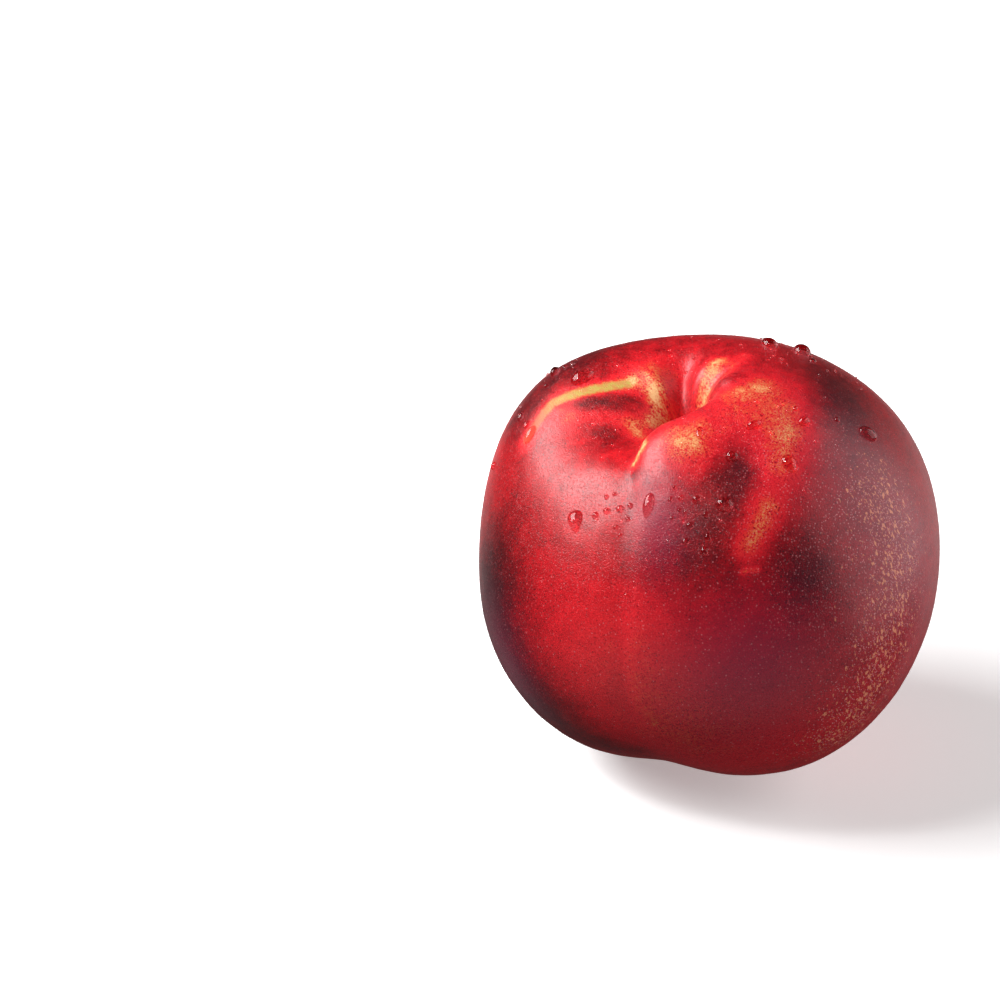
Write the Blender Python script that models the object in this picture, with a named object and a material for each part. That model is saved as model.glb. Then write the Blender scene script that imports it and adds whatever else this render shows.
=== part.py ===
"""A nectarine, picked and laid down, as one solid.

Metres, +Z up. The fruit leans a little towards the front (-Y) and to the left (-X), and rests on a
small flat spot at Z = 0. The origin is the middle of its footprint.

The skin is one rule. It gives a point for every polar angle, counted from the stem end, and every
azimuth, counted from the suture side of the fruit and positive towards its right cheek.
"""

import math

import bmesh
import bpy
from mathutils import Matrix, Vector

MM = 0.001

# The body, before its swellings: half sizes across the cheeks, along the suture and from end to end.
BODY_HALF_WIDTH = 33.8 * MM
BODY_HALF_DEPTH = 34.2 * MM
BODY_HALF_HEIGHT = 31.7 * MM

# Swellings and hollows: name, azimuth, polar angle, height in mm and spread in degrees.
SWELLINGS = (
    ("left shoulder", -95, 42, 4.0, 30),
    ("right shoulder", 75, 42, 2.3, 30),
    ("back shoulder", 180, 40, 0.1, 32),
    ("right lip", 14, 23, 1.2, 13),
    ("left hollow", -48, 24, -1.8, 13),
    ("cheek hollow", 52, 34, -0.7, 9),
    ("left cheek", -55, 108, 1.9, 34),
    ("right cheek", 65, 105, 2.9, 38),
    ("back left cheek", -145, 90, 1.8, 36),
    ("back right cheek", 150, 90, 2.7, 36),
    ("left foot", -60, 150, 4.0, 32),
    ("right foot", 50, 145, 1.9, 30),
    ("base hollow", -10, 142, -1.8, 20),
    ("back foot", 180, 145, 2.8, 34),
)

# The stem cavity: a narrow pit in a wide bowl that spreads to the left.
PIT_DEPTH = 8.0 * MM
PIT_WIDTH = 3.9 * MM
PIT_MIDDLE = Vector((0.9 * MM, -0.6 * MM))
BOWL_DEPTH = 4.5 * MM
BOWL_WIDTH = 9.5 * MM
BOWL_SPREAD = 4.5 * MM
BOWL_SPREAD_AZIMUTH = -105.0

# Pleats in the cavity's wall: azimuth, half width in degrees and height in mm.
PLEATS = (
    (-163, 17, -1.6),
    (-128, 14, 0.7),
    (168, 14, 0.9),
    (140, 10, -0.6),
    (112, 14, 0.8),
)
PLEAT_RADIUS = 7.0 * MM
PLEAT_REACH = 4.0 * MM

# The suture: deepest where it leaves the cavity, a shallow line over the cheeks, deeper at the base.
SUTURE_TOP_DEPTH = 3.2 * MM
SUTURE_MIDDLE_DEPTH = 0.35 * MM
SUTURE_BASE_DEPTH = 0.9 * MM
SUTURE_TOP_POLAR = 17.0
SUTURE_TOP_SPAN = 13.0
SUTURE_TOP_LEFT_WIDTH = 4.5 * MM
SUTURE_TOP_RIGHT_WIDTH = 2.2 * MM
SUTURE_LOW_WIDTH = 6.0 * MM
SUTURE_SWING = -16.0

# How the fruit lies.
HEADING = -25.0
LEAN_LEFT = 11.0
LEAN_FRONT = 6.0
FLAT_SPOT_SAG = 0.8 * MM

# The mesh: rings bunch towards the stem, where the surface turns fastest.
SEGMENTS = 72
RINGS = 46
RING_BUNCHING = 1.1

SKIN_COLOUR = (0.36, 0.022, 0.024, 1.0)
SKIN_ROUGHNESS = 0.38


def ease(low, high, value):
    """Smooth step from 0 at low to 1 at high."""
    t = min(max((value - low) / (high - low), 0.0), 1.0)
    return t * t * (3.0 - 2.0 * t)


def bell(value, spread):
    return math.exp(-((value / spread) ** 2))


def wrapped(degrees):
    """The same angle, between -180 and 180 degrees."""
    return (degrees + 180.0) % 360.0 - 180.0


def heading_vector(azimuth, polar):
    """Unit vector at an azimuth and a polar angle, both in degrees."""
    a = math.radians(azimuth)
    p = math.radians(polar)
    return Vector((math.sin(p) * math.sin(a), -math.sin(p) * math.cos(a), math.cos(p)))


def swollen_radius(direction):
    """Distance from the middle of the fruit to its skin, before the suture and the cavity."""
    stretched = Vector((direction.x / BODY_HALF_WIDTH, direction.y / BODY_HALF_DEPTH,
                        direction.z / BODY_HALF_HEIGHT))
    radius = 1.0 / stretched.length
    for _name, azimuth, polar, height, spread in SWELLINGS:
        away = math.degrees(direction.angle(heading_vector(azimuth, polar), 0.0))
        radius += height * MM * bell(away, spread)
    return radius


def suture_depth(azimuth, polar, radius):
    """How far the suture groove sinks the skin."""
    turned = math.radians(wrapped(azimuth - SUTURE_SWING * (1.0 - ease(12, 40, polar))))
    across = radius * math.sin(math.radians(polar)) * math.sin(turned)
    lowness = ease(20, 80, polar)
    top_width = SUTURE_TOP_RIGHT_WIDTH if across > 0.0 else SUTURE_TOP_LEFT_WIDTH
    width = top_width + (SUTURE_LOW_WIDTH - top_width) * lowness
    depth = SUTURE_MIDDLE_DEPTH
    depth += (SUTURE_TOP_DEPTH - SUTURE_MIDDLE_DEPTH) * bell(polar - SUTURE_TOP_POLAR, SUTURE_TOP_SPAN)
    depth += (SUTURE_BASE_DEPTH - SUTURE_MIDDLE_DEPTH) * ease(95, 140, polar)
    depth *= ease(-0.2, 0.35, math.cos(turned))
    depth *= ease(2, 12, polar) * ease(172, 148, polar)
    return depth * math.exp(-((abs(across) / width) ** 1.6))


def cavity_drop(azimuth, place):
    """How far the stem cavity lowers the skin at a place seen along the stem axis."""
    distance = place.length
    spread = math.cos(math.radians(azimuth - BOWL_SPREAD_AZIMUTH))
    drop = BOWL_DEPTH * bell(distance, BOWL_WIDTH + BOWL_SPREAD * spread)
    drop += PIT_DEPTH * bell((place - PIT_MIDDLE).length, PIT_WIDTH)
    pleat = sum(height * MM * bell(wrapped(azimuth - at), half) for at, half, height in PLEATS)
    pleat *= bell(distance - PLEAT_RADIUS, PLEAT_REACH) * ease(0.5 * MM, 4 * MM, distance)
    return drop - pleat


def skin_point(azimuth, polar):
    """Point of the skin with the stem axis upright."""
    direction = heading_vector(azimuth, polar)
    radius = swollen_radius(direction)
    radius -= suture_depth(azimuth, polar, radius)
    point = direction * radius
    if direction.z > 0.0:
        point.z -= cavity_drop(azimuth, point.xy)
    return point


def lying_turn():
    """Turns the upright fruit to the way it lies."""
    turn = Matrix.Rotation(math.radians(LEAN_FRONT), 3, "X")
    turn = turn @ Matrix.Rotation(math.radians(-LEAN_LEFT), 3, "Y")
    return turn @ Matrix.Rotation(math.radians(HEADING), 3, "Z")


def shape_skin(bm):
    """Moves each vertex of a unit sphere to its place on the skin."""
    turn = lying_turn()
    for vert in bm.verts:
        azimuth = math.degrees(math.atan2(vert.co.x, -vert.co.y))
        polar = math.degrees(math.acos(max(-1.0, min(1.0, vert.co.z))))
        polar = 180.0 * (polar / 180.0) ** RING_BUNCHING
        vert.co = turn @ skin_point(azimuth, polar)


def settle(bm):
    """Centres the fruit over the origin and presses its flat spot onto Z = 0."""
    lows = [min(v.co[i] for v in bm.verts) for i in range(3)]
    highs = [max(v.co[i] for v in bm.verts) for i in range(3)]
    shift = Vector(((lows[0] + highs[0]) / 2, (lows[1] + highs[1]) / 2, lows[2] + FLAT_SPOT_SAG))
    for vert in bm.verts:
        vert.co -= shift
        vert.co.z = max(vert.co.z, 0.0)


def skin_material():
    material = bpy.data.materials.new("skin")
    material.use_nodes = True
    shader = material.node_tree.nodes["Principled BSDF"]
    shader.inputs["Base Color"].default_value = SKIN_COLOUR
    shader.inputs["Roughness"].default_value = SKIN_ROUGHNESS
    shader.inputs["Metallic"].default_value = 0.0
    return material


def make_nectarine(collection):
    bm = bmesh.new()
    bmesh.ops.create_uvsphere(bm, u_segments=SEGMENTS, v_segments=RINGS, radius=1.0)
    shape_skin(bm)
    settle(bm)
    mesh = bpy.data.meshes.new("nectarine")
    bm.to_mesh(mesh)
    bm.free()
    mesh.shade_smooth()
    mesh.materials.append(skin_material())
    fruit = bpy.data.objects.new("nectarine", mesh)
    collection.objects.link(fruit)
    return fruit


def main():
    for old in list(bpy.data.objects):
        bpy.data.objects.remove(old)
    collection = bpy.data.collections.new("nectarine")
    bpy.context.scene.collection.children.link(collection)
    make_nectarine(collection)


main()
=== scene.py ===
# %% [markdown]
# # A nectarine, step by step
# The packed model gives a fixed frame: one solid, already at its real size and lying the way the
# fruit lies. Everything here is built over it, in metres, with +Z up. The solid itself stays as it
# is. A finer skin is grown by the same rule and takes its place, then it gets its colours, its
# pores, its two scars and the water that stands on it.

# %% The frame
import math

import bpy
from mathutils import Matrix, Vector
from mathutils.kdtree import KDTree


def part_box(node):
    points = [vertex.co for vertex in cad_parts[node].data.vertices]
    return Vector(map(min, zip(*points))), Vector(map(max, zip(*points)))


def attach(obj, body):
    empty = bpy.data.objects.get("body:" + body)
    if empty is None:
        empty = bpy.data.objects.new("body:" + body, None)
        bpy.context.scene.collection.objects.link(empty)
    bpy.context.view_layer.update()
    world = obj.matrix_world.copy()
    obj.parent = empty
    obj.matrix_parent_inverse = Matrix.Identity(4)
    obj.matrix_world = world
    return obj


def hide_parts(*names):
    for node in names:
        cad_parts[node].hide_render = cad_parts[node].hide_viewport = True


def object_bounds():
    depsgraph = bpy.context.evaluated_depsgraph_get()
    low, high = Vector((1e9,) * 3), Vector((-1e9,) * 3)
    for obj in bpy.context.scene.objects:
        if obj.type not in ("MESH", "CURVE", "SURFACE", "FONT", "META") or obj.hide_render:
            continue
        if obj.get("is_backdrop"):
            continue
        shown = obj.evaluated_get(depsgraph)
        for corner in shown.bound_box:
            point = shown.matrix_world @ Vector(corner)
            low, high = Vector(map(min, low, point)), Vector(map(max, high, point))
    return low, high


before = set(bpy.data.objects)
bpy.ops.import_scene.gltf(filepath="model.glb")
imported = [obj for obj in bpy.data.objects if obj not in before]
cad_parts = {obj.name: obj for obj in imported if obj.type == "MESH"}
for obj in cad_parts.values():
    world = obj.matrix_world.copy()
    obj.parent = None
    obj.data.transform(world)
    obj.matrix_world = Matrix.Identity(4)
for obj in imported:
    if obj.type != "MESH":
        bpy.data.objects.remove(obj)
cad_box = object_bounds()
MM = 0.001
fruit_low, fruit_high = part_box("nectarine")
print("solid in mm:", [round(side / MM, 1) for side in fruit_high - fruit_low])

# %% [markdown]
# ## Nodes as sums
# Shape rules and colour rules are both trees of nodes. Written one node at a time they are long and
# hard to check. A small class lets Python's own operators add the nodes instead, so a rule reads
# like the sum it is. Plain numbers stay in Python and cost no node.

# %% The Wire class
VECTOR_TYPES = ("VECTOR", "RGBA")


class Wire:
    """The output of a node, which Python's operators can work on."""

    def __init__(self, socket):
        self.socket = socket

    @staticmethod
    def node(tree, kind, settings=None, sockets=None, output=0):
        """Adds a node, makes its settings, then fills its sockets with values or wires."""
        made = tree.nodes.new(kind)
        for name, value in (settings or {}).items():
            if name == "stops":
                set_stops(made.color_ramp, value)
            else:
                setattr(made, name, value)
        for name, value in (sockets or {}).items():
            socket = made.inputs[name]
            if isinstance(value, Wire):
                tree.links.new(value.socket, socket)
            elif isinstance(value, (int, float)) and socket.type == "VECTOR":
                socket.default_value = (value, value, value)
            else:
                socket.default_value = value
        return Wire(made.outputs[output])

    @property
    def tree(self):
        return self.socket.id_data

    def is_vector(self):
        return self.socket.type in VECTOR_TYPES

    def math_kind(self, others):
        """Vector Math if this wire or any of the others is a vector, else Math."""
        vectors = [part.is_vector() if isinstance(part, Wire) else isinstance(part, (Vector, tuple))
                   for part in (self,) + others]
        return "ShaderNodeVectorMath" if any(vectors) else "ShaderNodeMath"

    def sibling(self, output):
        """Another output of the same node."""
        return Wire(self.socket.node.outputs[output])

    def join(self, operation, *others):
        """This wire and the others through one node."""
        return Wire.node(self.tree, self.math_kind(others), {"operation": operation},
                         dict(enumerate((self,) + others)))

    def after(self, operation, first):
        """The same with a plain number or vector in front."""
        return Wire.node(self.tree, self.math_kind((first,)), {"operation": operation}, {0: first, 1: self})

    def __add__(self, other):
        return self.join("ADD", other)

    def __sub__(self, other):
        return self.join("SUBTRACT", other)

    def __mul__(self, other):
        return self.join("MULTIPLY", other)

    def __truediv__(self, other):
        return self.join("DIVIDE", other)

    def __pow__(self, power):
        return self.join("POWER", power)

    def __lt__(self, other):
        return self.join("LESS_THAN", other)

    def __gt__(self, other):
        return self.join("GREATER_THAN", other)

    def __neg__(self):
        return self.join("MULTIPLY", -1.0)

    def __radd__(self, other):
        return self.join("ADD", other)

    def __rsub__(self, other):
        return self.after("SUBTRACT", other)

    def __rmul__(self, other):
        return self.join("MULTIPLY", other)

    def __rtruediv__(self, other):
        return self.after("DIVIDE", other)

    def __rpow__(self, base):
        return self.after("POWER", base)

    def dot(self, other):
        return Wire.node(self.tree, "ShaderNodeVectorMath", {"operation": "DOT_PRODUCT"},
                         {0: self, 1: other}, "Value")

    def length(self):
        return Wire.node(self.tree, "ShaderNodeVectorMath", {"operation": "LENGTH"}, {0: self}, "Value")

    def axis(self, letter):
        return Wire.node(self.tree, "ShaderNodeSeparateXYZ", None, {0: self}, letter)

    def held(self, low, high):
        """This wire, kept between two numbers."""
        return self.join("MAXIMUM", low).join("MINIMUM", high)


def set_stops(ramp, stops):
    """Gives a new colour ramp its stops, each a place and a colour."""
    for stop, (place, colour) in zip(ramp.elements, (stops[0], stops[-1])):
        stop.position = place
        stop.color = colour
    for place, colour in stops[1:-1]:
        ramp.elements.new(place).color = colour


print("a wire knows", len([name for name in vars(Wire) if name.startswith("__")]), "of Python's own names")

# %% Small helpers


def vector_of(x, y, z):
    """Three wires or numbers as one vector wire."""
    tree = next(part for part in (x, y, z) if isinstance(part, Wire)).tree
    return Wire.node(tree, "ShaderNodeCombineXYZ", None, {"X": x, "Y": y, "Z": z})


def ease(low, high, wire):
    """Smooth step from 0 at low to 1 at high."""
    return Wire.node(wire.tree, "ShaderNodeMapRange", {"interpolation_type": "SMOOTHSTEP"},
                     {"Value": wire, "From Min": low, "From Max": high})


def bell(wire, spread):
    """1 at zero, falling off on both sides."""
    share = wire / spread
    return math.exp(-1.0) ** (share * share)


def wrapped(degrees):
    """The same angle, between -180 and 180 degrees."""
    return degrees.join("WRAP", 180.0, -180.0)


def noise(place, scale, detail=2.0, output="Fac"):
    """Cloudy noise between about 0 and 1."""
    return Wire.node(place.tree, "ShaderNodeTexNoise", None,
                     {"Vector": place, "Scale": scale, "Detail": detail}, output)


def unit(wire):
    return Wire.node(wire.tree, "ShaderNodeVectorMath", {"operation": "NORMALIZE"}, {0: wire})


print("helpers ready")

# %% [markdown]
# ## The fruit's own compass
# Two angles name every place on the skin: the polar angle counts down from the stem, and the
# azimuth runs round the fruit from the suture, positive towards the right cheek. They are the
# fruit's own latitude and longitude, and they stay true however it lies. The swellings below are
# named by them, and so are the marks and the drops later on.

# %% The compass


def compass(azimuth, polar):
    """Unit vector of an azimuth and a polar angle in degrees, with the stem axis upright."""
    a, p = math.radians(azimuth), math.radians(polar)
    return Vector((math.sin(p) * math.sin(a), -math.sin(p) * math.cos(a), math.cos(p)))


def compass_angles(direction):
    """Azimuth and polar angle, in degrees, of a wire that holds a unit vector."""
    azimuth = direction.axis("X").join("ARCTAN2", -direction.axis("Y")).join("DEGREES")
    polar = direction.axis("Z").held(-1.0, 1.0).join("ARCCOSINE").join("DEGREES")
    return azimuth, polar


HEADING = -25.0
LEAN_LEFT = 11.0
LEAN_FRONT = 6.0
lying = Matrix.Rotation(math.radians(LEAN_FRONT), 3, "X")
lying = lying @ Matrix.Rotation(math.radians(-LEAN_LEFT), 3, "Y")
lying = lying @ Matrix.Rotation(math.radians(HEADING), 3, "Z")
print("the stem points to", [round(part, 2) for part in lying @ Vector((0, 0, 1))])

# %% [markdown]
# ## The body
# A nectarine is a flattened ball that has swollen unevenly: two full cheeks, a high shoulder
# beside the stem, and a heavy underside. It could be sculpted, but a rule is easier to read and
# to change. An ellipsoid gives the first distance from the middle, and each swelling adds a soft
# hill to it. The hollows are swellings with a negative height.

# %% Swellings
BODY_HALF_SIZES = (33.8 * MM, 34.2 * MM, 31.7 * MM)

# Name, azimuth, polar angle, height in mm and spread in degrees.
SWELLINGS = (
    ("left shoulder", -95, 42, 4.0, 30),
    ("right shoulder", 75, 42, 2.3, 30),
    ("back shoulder", 180, 40, 0.1, 32),
    ("right lip", 14, 23, 1.2, 13),
    ("left hollow", -48, 24, -1.8, 13),
    ("cheek hollow", 52, 34, -0.7, 9),
    ("left cheek", -55, 108, 1.9, 34),
    ("right cheek", 65, 105, 2.9, 38),
    ("back left cheek", -145, 90, 1.8, 36),
    ("back right cheek", 150, 90, 2.7, 36),
    ("left foot", -60, 150, 4.0, 32),
    ("right foot", 50, 145, 1.9, 30),
    ("base hollow", -10, 142, -1.8, 20),
    ("back foot", 180, 145, 2.8, 34),
)


def swollen(direction, half_sizes):
    """Distance from the middle of the fruit to its skin, before the suture and the cavity."""
    radius = 1.0 / (direction / half_sizes).length()
    for _name, azimuth, polar, height, spread in SWELLINGS:
        away = direction.dot(compass(azimuth, polar)).join("MINIMUM", 1.0).join("ARCCOSINE")
        radius = radius + height * MM * bell(away, math.radians(spread))
    return radius


print(len(SWELLINGS), "swellings, the highest", max(swelling[3] for swelling in SWELLINGS), "mm")

# %% [markdown]
# ## The suture
# The suture is the seam of the carpel, a groove that runs from the stem down the front. It is
# deep where it leaves the cavity, where its right lip stands over it like a fold, and shallow over
# the cheeks. A cut would look sharp, so the groove is a soft valley whose depth and width change
# along its length. Down the front a finer seam lies in the valley, and it splits the gloss in two.

# %% The suture groove
SUTURE_TOP_DEPTH = 3.2 * MM
SUTURE_MIDDLE_DEPTH = 0.35 * MM
SUTURE_BASE_DEPTH = 0.9 * MM
SUTURE_TOP_POLAR = 17.0
SUTURE_TOP_SPAN = 13.0
SUTURE_TOP_LEFT_WIDTH = 4.5 * MM
SUTURE_TOP_RIGHT_WIDTH = 2.2 * MM
SUTURE_LOW_WIDTH = 6.0 * MM
SUTURE_SWING = -16.0
SUTURE_STEEPNESS = 1.6
SEAM_DEPTH = 0.22 * MM
SEAM_WIDTH = 1.7 * MM
SEAM_SHIFT = 1.0 * MM

# Where a change begins and ends: polar angles, and for the front the cosine of the azimuth.
SWING_FADE = (12, 40)
WIDENING = (20, 80)
BASE_DEEPENING = (95, 140)
FRONT = (-0.2, 0.35)
SUTURE_START = (2, 12)
SUTURE_END = (172, 148)
SEAM_START = (33, 42)
SEAM_END = (112, 88)


def suture(azimuth, polar, radius, depth_scale):
    """How far the suture groove sinks the skin."""
    turned = (azimuth - SUTURE_SWING * (1.0 - ease(*SWING_FADE, polar))).join("RADIANS")
    across = radius * polar.join("RADIANS").join("SINE") * turned.join("SINE")
    top_width = SUTURE_TOP_LEFT_WIDTH + (SUTURE_TOP_RIGHT_WIDTH - SUTURE_TOP_LEFT_WIDTH) * (across > 0.0)
    width = top_width + (SUTURE_LOW_WIDTH - top_width) * ease(*WIDENING, polar)
    at_top = bell(polar - SUTURE_TOP_POLAR, SUTURE_TOP_SPAN)
    deeper_at_top = (SUTURE_TOP_DEPTH - SUTURE_MIDDLE_DEPTH) * at_top
    deeper_at_base = (SUTURE_BASE_DEPTH - SUTURE_MIDDLE_DEPTH) * ease(*BASE_DEEPENING, polar)
    depth = SUTURE_MIDDLE_DEPTH + deeper_at_top + deeper_at_base
    depth = depth * ease(*SUTURE_START, polar) * ease(*SUTURE_END, polar)
    valley = depth * math.exp(-1.0) ** ((across.join("ABSOLUTE") / width) ** SUTURE_STEEPNESS)
    seam = SEAM_DEPTH * bell(across - SEAM_SHIFT, SEAM_WIDTH)
    seam = seam * ease(*SEAM_START, polar) * ease(*SEAM_END, polar)
    return (valley + seam) * ease(*FRONT, turned.join("COSINE")) * depth_scale


print("suture from", SUTURE_TOP_DEPTH / MM, "mm deep to", SUTURE_MIDDLE_DEPTH / MM, "mm")

# %% [markdown]
# ## The stem cavity
# The flesh grew up round the stalk, so the stem sits at the bottom of a narrow pit in a wide bowl.
# Where the flesh was squeezed, the wall has pleats that run down into the pit. When the fruit is
# picked, a small woody scar stays at the bottom: a raised ring with a dimple.

# %% The cavity
PIT_DEPTH = 8.0 * MM
PIT_WIDTH = 3.9 * MM
PIT_MIDDLE = (0.9 * MM, -0.6 * MM, 0.0)
BOWL_DEPTH = 4.5 * MM
BOWL_WIDTH = 9.5 * MM
BOWL_SPREAD = 4.5 * MM
BOWL_SPREAD_AZIMUTH = -105.0
PLEAT_RADIUS = 7.0 * MM
PLEAT_REACH = 4.0 * MM
PLEAT_START = (0.5 * MM, 4.0 * MM)
SCAR_RADIUS = 1.5 * MM
SCAR_RIM = 0.45 * MM
SCAR_HEIGHT = 0.35 * MM

# Pleats: azimuth, half width in degrees and height in mm.
PLEATS = (
    (-163, 17, -1.6),
    (-128, 14, 0.7),
    (168, 14, 0.9),
    (140, 10, -0.6),
    (112, 14, 0.8),
)


def cavity(azimuth, place, pit_depth, bowl_depth):
    """How far the stem cavity lowers the skin, for a place seen along the stem axis."""
    distance = place.length()
    pit_distance = (place - PIT_MIDDLE).length()
    lean = (azimuth - BOWL_SPREAD_AZIMUTH).join("RADIANS").join("COSINE")
    drop = bowl_depth * bell(distance, BOWL_WIDTH + BOWL_SPREAD * lean)
    drop = drop + pit_depth * bell(pit_distance, PIT_WIDTH)
    pleats = 0.0
    for at, half_width, height in PLEATS:
        pleats = height * MM * bell(wrapped(azimuth - at), half_width) + pleats
    pleats = pleats * bell(distance - PLEAT_RADIUS, PLEAT_REACH) * ease(*PLEAT_START, distance)
    scar = SCAR_HEIGHT * bell(pit_distance - SCAR_RADIUS, SCAR_RIM)
    return drop - pleats - scar


print(len(PLEATS), "pleats in the cavity's wall")

# %% [markdown]
# ## Small unevenness
# No fruit is as smooth as a formula. Under the skin lie bundles that run from stem to tip, and the
# flesh swells in patches. Both are only tenths of a millimetre, but a gloss shows them at once.
# They are part of the shape, not only of the shading, so the edge of the fruit shows them too.

# %% Unevenness
LUMP_HEIGHT = 0.35 * MM
LUMP_SCALE = 3.0
DIMPLE_HEIGHT = 0.07 * MM
DIMPLE_SCALE = 14.0
RIB_HEIGHT = 0.05 * MM
RIB_SCALE = 11.0
RIB_STRETCH = 60.0
RIBS_START = (18, 40)
RIBS_END = (170, 150)


def round_the_stem(direction, polar, stretch):
    """A place that changes fast round the fruit and slowly along it, for lengthwise streaks."""
    flat = unit(direction * Vector((1.0, 1.0, 0.0)))
    return flat + vector_of(0.0, 0.0, polar * (1.0 / stretch))


def unevenness(direction, polar):
    """Height of the low lumps, the dimples and the ribs of the skin."""
    lumps = (noise(direction, LUMP_SCALE, 1.0) - 0.5) * LUMP_HEIGHT
    dimples = (noise(direction, DIMPLE_SCALE, 1.0) - 0.5) * DIMPLE_HEIGHT
    ribs = (noise(round_the_stem(direction, polar, RIB_STRETCH), RIB_SCALE, 1.0) - 0.5) * RIB_HEIGHT
    return lumps + dimples + ribs * ease(*RIBS_START, polar) * ease(*RIBS_END, polar)


print("lumps of", LUMP_HEIGHT / MM, "mm, dimples of", DIMPLE_HEIGHT / MM, "mm")

# %% [markdown]
# ## Growing the skin
# Geometry Nodes can follow a rule like this one for every point of a ball. The tree below starts
# from a UV sphere, whose rings it bunches towards the stem, where the surface turns fastest. It
# writes each point's direction down as an attribute, so that the colours know where they are. It
# moves the points out to the skin, lays the fruit down and presses its resting spot flat.

# %% Trees


def new_tree(name, inputs):
    """An empty Geometry Nodes tree with named inputs, and wires from them."""
    tree = bpy.data.node_groups.new(name, "GeometryNodeTree")
    tree.interface.new_socket("Geometry", in_out="OUTPUT", socket_type="NodeSocketGeometry")
    for label, (kind, value) in inputs.items():
        socket = tree.interface.new_socket(label, in_out="INPUT", socket_type=kind)
        if value is not None:
            socket.default_value = value
    entry = tree.nodes.new("NodeGroupInput")
    return tree, {label: Wire(entry.outputs[label]) for label in inputs}


def close_tree(tree, geometry, material):
    """Ends a tree in Realize Instances and Set Material."""
    real = Wire.node(tree, "GeometryNodeRealizeInstances", None, {"Geometry": geometry})
    done = Wire.node(tree, "GeometryNodeSetMaterial", None, {"Geometry": real, "Material": material})
    tree.links.new(done.socket, tree.nodes.new("NodeGroupOutput").inputs[0])


def grow(name, tree, values, start=None):
    """Runs a tree on a starting mesh and returns the result as a plain mesh object."""
    holder = bpy.data.objects.new(name + "_start", start or bpy.data.meshes.new(name + "_start"))
    bpy.context.scene.collection.objects.link(holder)
    modifier = holder.modifiers.new("Grow", "NODES")
    modifier.node_group = tree
    for item in tree.interface.items_tree:
        if item.in_out == "INPUT" and item.name in values:
            modifier[item.identifier] = values[item.name]
    evaluated = holder.evaluated_get(bpy.context.evaluated_depsgraph_get())
    mesh = bpy.data.meshes.new_from_object(evaluated)
    bpy.data.objects.remove(holder)
    mesh.name = name
    piece = bpy.data.objects.new(name, mesh)
    bpy.context.scene.collection.objects.link(piece)
    return piece


def count_triangles(piece):
    return sum(len(face.vertices) - 2 for face in piece.data.polygons)


def store(tree, geometry, kind, name, value):
    """Writes a value down on every point, as a named attribute."""
    return Wire.node(tree, "GeometryNodeStoreNamedAttribute", {"data_type": kind, "domain": "POINT"},
                     {"Geometry": geometry, "Name": name, "Value": value})


def recall(tree, kind, name):
    return Wire.node(tree, "GeometryNodeInputNamedAttribute", {"data_type": kind}, {"Name": name})


print("tree helpers ready")

# %% The skin's tree
SEGMENTS = 352
RINGS = 276
RING_BUNCHING = 1.35
FLAT_SPOT_SAG = 0.8 * MM


def bunched_direction(tree, bunching):
    """Direction of each point of a unit ball, after its rings move towards the stem."""
    place = unit(Wire.node(tree, "GeometryNodeInputPosition"))
    azimuth, polar = compass_angles(place)
    down = ((polar / 180.0) ** bunching * 180.0).join("RADIANS")
    around = azimuth.join("RADIANS")
    across = down.join("SINE")
    return vector_of(across * around.join("SINE"), -(across * around.join("COSINE")), down.join("COSINE"))


def settled(tree, geometry, sag):
    """Centres the fruit over the origin and presses its flat spot onto the floor."""
    box = Wire.node(tree, "GeometryNodeBoundBox", None, {"Geometry": geometry}, "Min")
    low, high = box, box.sibling("Max")
    middle = (low + high) * 0.5
    shift = vector_of(middle.axis("X"), middle.axis("Y"), low.axis("Z") + sag)
    place = Wire.node(tree, "GeometryNodeInputPosition") - shift
    rested = vector_of(place.axis("X"), place.axis("Y"), place.axis("Z").join("MAXIMUM", 0.0))
    return Wire.node(tree, "GeometryNodeSetPosition", None, {"Geometry": geometry, "Position": rested})


def skin_tree():
    floats = {"Half Width": BODY_HALF_SIZES[0], "Half Depth": BODY_HALF_SIZES[1],
              "Half Height": BODY_HALF_SIZES[2], "Pit Depth": PIT_DEPTH, "Bowl Depth": BOWL_DEPTH,
              "Suture Scale": 1.0, "Flat Spot Sag": FLAT_SPOT_SAG, "Ring Bunching": RING_BUNCHING}
    inputs = {label: ("NodeSocketFloat", value) for label, value in floats.items()}
    inputs["Segments"] = ("NodeSocketInt", SEGMENTS)
    inputs["Rings"] = ("NodeSocketInt", RINGS)
    inputs["Skin"] = ("NodeSocketMaterial", None)
    tree, given = new_tree("Nectarine Skin", inputs)
    ball = Wire.node(tree, "GeometryNodeMeshUVSphere", None,
                     {"Segments": given["Segments"], "Rings": given["Rings"], "Radius": 1.0})
    ball = store(tree, ball, "FLOAT_VECTOR", "direction", bunched_direction(tree, given["Ring Bunching"]))
    direction = recall(tree, "FLOAT_VECTOR", "direction")
    azimuth, polar = compass_angles(direction)
    radius = swollen(direction, vector_of(given["Half Width"], given["Half Depth"], given["Half Height"]))
    radius = radius - suture(azimuth, polar, radius, given["Suture Scale"]) + unevenness(direction, polar)
    seen_from_stem = direction * radius * Vector((1.0, 1.0, 0.0))
    drop = cavity(azimuth, seen_from_stem, given["Pit Depth"], given["Bowl Depth"])
    drop = drop * (direction.axis("Z") > 0.0)
    grown = Wire.node(tree, "GeometryNodeSetPosition", None,
                      {"Geometry": ball, "Position": direction * radius - vector_of(0.0, 0.0, drop)})
    laid = Wire.node(tree, "GeometryNodeTransform", None, {"Geometry": grown, "Rotation": lying.to_euler()})
    rested = settled(tree, laid, given["Flat Spot Sag"])
    smooth = Wire.node(tree, "GeometryNodeSetShadeSmooth", None, {"Geometry": rested})
    close_tree(tree, smooth, given["Skin"])
    return tree


growing_skin = skin_tree()
print("the skin's tree has", len(growing_skin.nodes), "nodes")

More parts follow.
